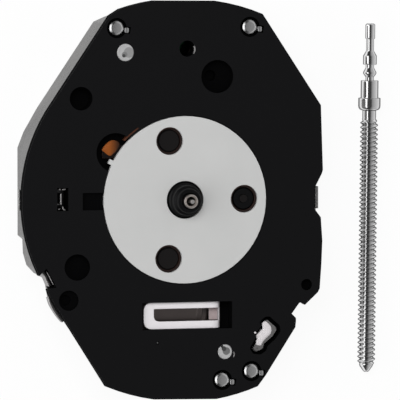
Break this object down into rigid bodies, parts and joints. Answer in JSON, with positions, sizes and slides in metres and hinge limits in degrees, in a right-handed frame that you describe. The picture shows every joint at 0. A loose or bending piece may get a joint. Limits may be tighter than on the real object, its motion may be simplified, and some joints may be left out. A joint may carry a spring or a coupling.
{
  "type": "quartz watch movement",
  "caption": "Quartz watch movement with three coaxial hand posts, black plate, stamped back cover and loose threaded setting stem.",
  "frame": {"origin": "on the axis of the hand posts, in the flat outer face of the back cover", "axes": "+Z along the hand posts towards the dial, +X to 3 o'clock, where the stem goes in, +Y to 12 o'clock"},
  "size_m": [0.0191, 0.0198, 0.0044],
  "materials": {
    "black_plastic": "fine moulded texture",
    "white_plastic": "satin",
    "amber_plastic": "satin",
    "bright_steel": "stamped and tumbled",
    "turned_steel": "turned, bright",
    "brass": "hobbed",
    "magnet": "sintered",
    "soft_iron": "stamped and annealed",
    "copper": "wound enamelled wire",
    "board": "solder mask",
    "epoxy": "poured dome",
    "solder": "reflowed",
    "film": "thin film",
    "gasket": "moulded"
  },
  "bodies": {
    "movement": {"main_plate": "black_plastic", "motion_cover": "white_plastic", "motion_guard": "amber_plastic", "stator": "soft_iron", "coil_core": "soft_iron", "coil_bobbin": "white_plastic", "coil_winding": "copper", "coil_board": "board", "train_bridge": "black_plastic", "bridge_bushes": "brass", "bridge_screws": "turned_steel", "coil_screws": "turned_steel", "circuit_board": "board", "ic_chip": "epoxy", "solder_pads": "solder", "crystal_can": "bright_steel", "crystal_leads": "solder", "battery_can": "bright_steel", "battery_gasket": "gasket", "battery_cap": "bright_steel", "minus_contact": "bright_steel", "battery_clamp": "bright_steel", "insulator_sheet": "film", "back_cover": "bright_steel", "cover_screws": "turned_steel", "keyed_posts": "turned_steel", "plain_posts": "turned_steel", "lever_plate": "bright_steel", "lever_screw": "turned_steel", "centre_bush": "brass"},
    "seconds": {"seconds_wheel": "turned_steel"},
    "rotor": {"rotor_magnet": "magnet", "rotor_pinion": "turned_steel"},
    "fifth": {"fifth_wheel": "brass"},
    "third": {"third_wheel": "brass"},
    "centre": {"centre_wheel": "brass"},
    "hour": {"hour_wheel": "black_plastic"},
    "cannon": {"cannon_pinion": "turned_steel"},
    "minute": {"minute_wheel": "brass"},
    "setting": {"setting_wheel": "brass"},
    "lever": {"setting_lever": "bright_steel"},
    "yoke": {"yoke": "bright_steel"},
    "clutch": {"clutch_wheel": "turned_steel"},
    "reset": {"reset_lever": "bright_steel"},
    "stem": {"stem": "turned_steel"}
  },
  "joints": [
    {"name": "seconds_turn", "type": "hinge", "parent": "movement", "child": "seconds", "pos_m": [0, 0, 0.00117], "axis": [0, 0, 1], "continuous": true},
    {"name": "rotor_turn", "type": "hinge", "parent": "movement", "child": "rotor", "pos_m": [-0.00159, 0.00242, 0.0015], "axis": [0, 0, 1], "continuous": true},
    {"name": "fifth_turn", "type": "hinge", "parent": "movement", "child": "fifth", "pos_m": [-0.00164, 0.00074, 0.001], "axis": [0, 0, 1], "continuous": true},
    {"name": "third_turn", "type": "hinge", "parent": "movement", "child": "third", "pos_m": [0.00152, 0.00127, 0.00137], "axis": [0, 0, 1], "continuous": true},
    {"name": "centre_turn", "type": "hinge", "parent": "movement", "child": "centre", "pos_m": [0, 0, 0.00165], "axis": [0, 0, 1], "continuous": true},
    {"name": "hour_turn", "type": "hinge", "parent": "movement", "child": "hour", "pos_m": [0, 0, 0.0025], "axis": [0, 0, 1], "continuous": true},
    {"name": "cannon_turn", "type": "hinge", "parent": "movement", "child": "cannon", "pos_m": [0, 0, 0.00235], "axis": [0, 0, 1], "continuous": true},
    {"name": "minute_turn", "type": "hinge", "parent": "movement", "child": "minute", "pos_m": [0.00131, 0.00172, 0.00234], "axis": [0, 0, 1], "continuous": true},
    {"name": "setting_turn", "type": "hinge", "parent": "movement", "child": "setting", "pos_m": [0.00303, 0, 0.00234], "axis": [0, 0, 1], "continuous": true},
    {"name": "lever_swing", "type": "hinge", "parent": "movement", "child": "lever", "pos_m": [0.00537, 0.0019, 0.0011], "axis": [0, 0, 1], "range_deg": [0, 20]},
    {"name": "yoke_swing", "type": "hinge", "parent": "movement", "child": "yoke", "pos_m": [0.0046, -0.00175, 0.0011], "axis": [0, 0, 1], "range_deg": [0, 5.2]},
    {"name": "clutch_slide", "type": "slide", "parent": "movement", "child": "clutch", "axis": [1, 0, 0], "range_m": [-0.00015, 0]},
    {"name": "reset_swing", "type": "hinge", "parent": "movement", "child": "reset", "pos_m": [0.0026, -0.0023, 0.0011], "axis": [0, 0, 1], "range_deg": [0, 20]},
    {"name": "stem_turn", "type": "hinge", "parent": "movement", "child": "stem", "pos_m": [0.01023, 0.00848, 0.00059], "axis": [-0.0092, -0.9999, -0.0082], "continuous": true}
  ],
  "couplings": [
    {"joint": "rotor_turn", "follows": "seconds_turn", "ratio": 30},
    {"joint": "fifth_turn", "follows": "seconds_turn", "ratio": -5},
    {"joint": "third_turn", "follows": "seconds_turn", "ratio": -0.13333},
    {"joint": "centre_turn", "follows": "seconds_turn", "ratio": 0.016667},
    {"joint": "cannon_turn", "follows": "hour_turn", "ratio": 12},
    {"joint": "minute_turn", "follows": "hour_turn", "ratio": -4},
    {"joint": "setting_turn", "follows": "hour_turn", "ratio": 8},
    {"joint": "lever_swing", "follows": "clutch_slide", "rad_per_m": -2327.1},
    {"joint": "yoke_swing", "follows": "clutch_slide", "rad_per_m": -581.77},
    {"joint": "reset_swing", "follows": "clutch_slide", "rad_per_m": -2327.1}
  ]
}
